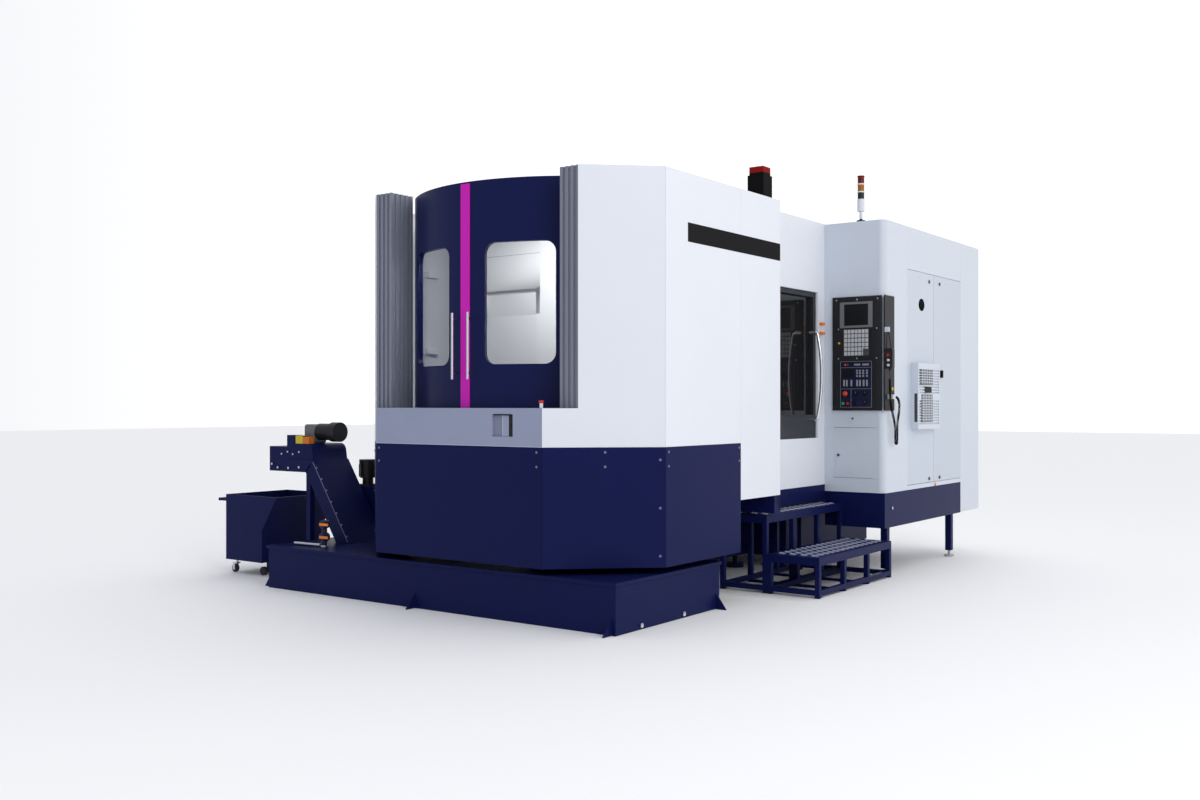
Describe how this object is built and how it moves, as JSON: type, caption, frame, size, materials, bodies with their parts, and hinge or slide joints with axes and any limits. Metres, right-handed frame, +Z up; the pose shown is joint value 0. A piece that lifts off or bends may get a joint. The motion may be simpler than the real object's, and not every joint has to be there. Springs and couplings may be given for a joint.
{
  "type": "cnc machining center",
  "caption": "Horizontal machining center with curved loading doors, pallet changer, side operator door, control cabinet, steps, coolant tank, chip conveyor and chip cart.",
  "frame": {"origin": "on the floor, on the underside of the coolant tank, under the line where the two loading doors meet", "axes": "+X to the right seen from the loading doors, +Y towards the back, +Z up"},
  "size_m": [5.159, 6.106, 3.768],
  "materials": {
    "navy_paint": "semi-gloss paint",
    "white_paint": "semi-gloss paint",
    "grey_paint": "semi-gloss paint",
    "post_grey": "satin",
    "magenta_paint": "gloss paint",
    "dark_paint": "satin paint",
    "black_plastic": "fine grain",
    "grey_plastic": "satin",
    "cast_iron": "machined and painted",
    "machined_steel": "ground",
    "handle_steel": "satin chrome",
    "clear_glass": "clear",
    "smoked_glass": "dark tinted, glossy",
    "red_plastic": "gloss",
    "green_plastic": "gloss",
    "orange_paint": "gloss paint",
    "wheel_rubber": "matt",
    "cord_rubber": "matt"
  },
  "bodies": {
    "machine": {"bed_casting": "navy_paint", "base_frame": "navy_paint", "changer_base": "navy_paint", "skirt_panels": "navy_paint", "front_band": "grey_paint", "shell_panels": "white_paint", "door_posts": "post_grey", "door_tracks": "machined_steel", "enclosure_walls": "white_paint", "cabinet_shell": "white_paint", "cabinet_base": "navy_paint", "control_electrics": "grey_plastic", "panel_housing": "black_plastic", "display_unit": "dark_paint", "pendant": "black_plastic", "pendant_cord": "cord_rubber", "signal_tower": "white_paint", "coolant_tank": "navy_paint", "coolant_pumps": "dark_paint", "conveyor_casing": "navy_paint", "conveyor_drive": "dark_paint", "step_platform": "navy_paint"},
    "left_door": {"front_door_left": "navy_paint", "left_door_glass": "clear_glass", "left_door_handle": "handle_steel"},
    "right_door": {"front_door_right": "navy_paint", "right_door_glass": "clear_glass", "right_door_handle": "handle_steel", "meeting_strip": "magenta_paint"},
    "operator_slider": {"operator_door": "dark_paint", "operator_door_glass": "smoked_glass", "operator_door_handle": "handle_steel"},
    "column_slide": {"column": "white_paint", "column_motor": "black_plastic"},
    "head": {"spindle_head": "cast_iron"},
    "spindle": {"spindle": "machined_steel"},
    "saddle": {"table_saddle": "cast_iron"},
    "table": {"rotary_table": "machined_steel"},
    "changer_lift": {"changer_ram": "machined_steel"},
    "changer": {"pallet_arm": "cast_iron", "pallet_partition": "white_paint", "pallets": "machined_steel"},
    "magazine": {"tool_magazine": "cast_iron"},
    "cabinet_front_leaf": {"cabinet_door_front": "white_paint", "cooling_unit": "white_paint"},
    "cabinet_rear_leaf": {"cabinet_door_rear": "white_paint"},
    "main_switch": {"main_switch": "black_plastic"},
    "storage_leaf": {"storage_door": "white_paint"},
    "emergency_button": {"emergency_button": "red_plastic"},
    "start_button": {"start_button": "green_plastic"},
    "stop_button": {"stop_button": "red_plastic"},
    "pendant_dial": {"pendant_dial": "red_plastic"},
    "cart": {"cart_body": "navy_paint"},
    "caster_near": {"caster_fork_near": "machined_steel"},
    "caster_far": {"caster_fork_far": "machined_steel"},
    "wheel_near": {"caster_wheel_near": "wheel_rubber"},
    "wheel_far": {"caster_wheel_far": "wheel_rubber"},
    "cart_axle": {"cart_axle": "wheel_rubber"},
    "low_valve": {"valve_lever_low": "orange_paint"},
    "high_valve": {"valve_lever_high": "orange_paint"}
  },
  "joints": [
    {"name": "left_door_turn", "type": "hinge", "parent": "machine", "child": "left_door", "pos_m": [0, 1.248, 1.5], "axis": [0, 0, 1], "range_deg": [-33, 0]},
    {"name": "right_door_turn", "type": "hinge", "parent": "machine", "child": "right_door", "pos_m": [0, 1.248, 1.5], "axis": [0, 0, 1], "range_deg": [0, 33]},
    {"name": "operator_door_slide", "type": "slide", "parent": "machine", "child": "operator_slider", "axis": [0, -1, 0], "range_m": [0, 0.9]},
    {"name": "column_travel", "type": "slide", "parent": "machine", "child": "column_slide", "axis": [1, 0, 0], "range_m": [-0.758, 0.042]},
    {"name": "head_travel", "type": "slide", "parent": "column_slide", "child": "head", "axis": [0, 0, 1], "range_m": [-0.5, 1]},
    {"name": "spindle_spin", "type": "hinge", "parent": "head", "child": "spindle", "pos_m": [0.358, 3.21, 1.75], "axis": [0, 1, 0], "continuous": true},
    {"name": "saddle_travel", "type": "slide", "parent": "machine", "child": "saddle", "axis": [0, 1, 0], "range_m": [0, 0.75]},
    {"name": "table_turn", "type": "hinge", "parent": "saddle", "child": "table", "pos_m": [0, 1.948, 1], "axis": [0, 0, 1], "continuous": true},
    {"name": "changer_lift", "type": "slide", "parent": "machine", "child": "changer_lift", "axis": [0, 0, 1], "range_m": [-0.04, 0]},
    {"name": "changer_turn", "type": "hinge", "parent": "changer_lift", "child": "changer", "pos_m": [0, 1.248, 1.1], "axis": [0, 0, 1], "range_deg": [0, 180]},
    {"name": "magazine_turn", "type": "hinge", "parent": "machine", "child": "magazine", "pos_m": [-1.035, 4.08, 1.95], "axis": [1, 0, 0], "continuous": true},
    {"name": "cabinet_front_swing", "type": "hinge", "parent": "machine", "child": "cabinet_front_leaf", "pos_m": [1.735, 3.991, 1.7], "axis": [0, 0, -1], "range_deg": [0, 110]},
    {"name": "cabinet_rear_swing", "type": "hinge", "parent": "machine", "child": "cabinet_rear_leaf", "pos_m": [1.735, 5.396, 1.7], "axis": [0, 0, 1], "range_deg": [0, 110]},
    {"name": "main_switch_turn", "type": "hinge", "parent": "cabinet_rear_leaf", "child": "main_switch", "pos_m": [1.735, 4.82, 1.791], "axis": [1, 0, 0], "range_deg": [0, 90]},
    {"name": "storage_swing", "type": "hinge", "parent": "machine", "child": "storage_leaf", "pos_m": [1.6264, 3.47, 1.07], "axis": [0, 0, 1], "range_deg": [0, 110]},
    {"name": "emergency_press", "type": "slide", "parent": "machine", "child": "emergency_button", "axis": [0, 1, 0], "range_m": [0, 0.006], "stiffness_N_per_m": 900},
    {"name": "start_press", "type": "slide", "parent": "machine", "child": "start_button", "axis": [0, 1, 0], "range_m": [0, 0.004], "stiffness_N_per_m": 500},
    {"name": "stop_press", "type": "slide", "parent": "machine", "child": "stop_button", "axis": [0, 1, 0], "range_m": [0, 0.004], "stiffness_N_per_m": 500},
    {"name": "dial_turn", "type": "hinge", "parent": "machine", "child": "pendant_dial", "pos_m": [1.782, 3.44, 1.928], "axis": [0, 1, 0], "continuous": true},
    {"name": "cart_roll", "type": "slide", "parent": "machine", "child": "cart", "axis": [-1, 0, 0], "range_m": [0, 1]},
    {"name": "near_caster_swivel", "type": "hinge", "parent": "cart", "child": "caster_near", "pos_m": [-3.058, 0.326, 0.1], "axis": [0, 0, 1], "continuous": true},
    {"name": "far_caster_swivel", "type": "hinge", "parent": "cart", "child": "caster_far", "pos_m": [-3.058, 0.866, 0.1], "axis": [0, 0, 1], "continuous": true},
    {"name": "near_wheel_spin", "type": "hinge", "parent": "caster_near", "child": "wheel_near", "pos_m": [-3.084, 0.326, 0.0375], "axis": [0, 1, 0], "continuous": true},
    {"name": "far_wheel_spin", "type": "hinge", "parent": "caster_far", "child": "wheel_far", "pos_m": [-3.084, 0.866, 0.0375], "axis": [0, 1, 0], "continuous": true},
    {"name": "cart_axle_spin", "type": "hinge", "parent": "cart", "child": "cart_axle", "pos_m": [-2.707, 0.596, 0.0375], "axis": [0, 1, 0], "continuous": true},
    {"name": "low_valve_turn", "type": "hinge", "parent": "machine", "child": "low_valve", "pos_m": [-1.61, 0.05, 0.432], "axis": [0, 1, 0], "range_deg": [-90, 0]},
    {"name": "high_valve_turn", "type": "hinge", "parent": "machine", "child": "high_valve", "pos_m": [-1.61, 0.05, 0.535], "axis": [0, 1, 0], "range_deg": [-90, 0]}
  ],
  "couplings": [
    {"joint": "cart_axle_spin", "follows": "cart_roll", "rad_per_m": -26.667}
  ]
}
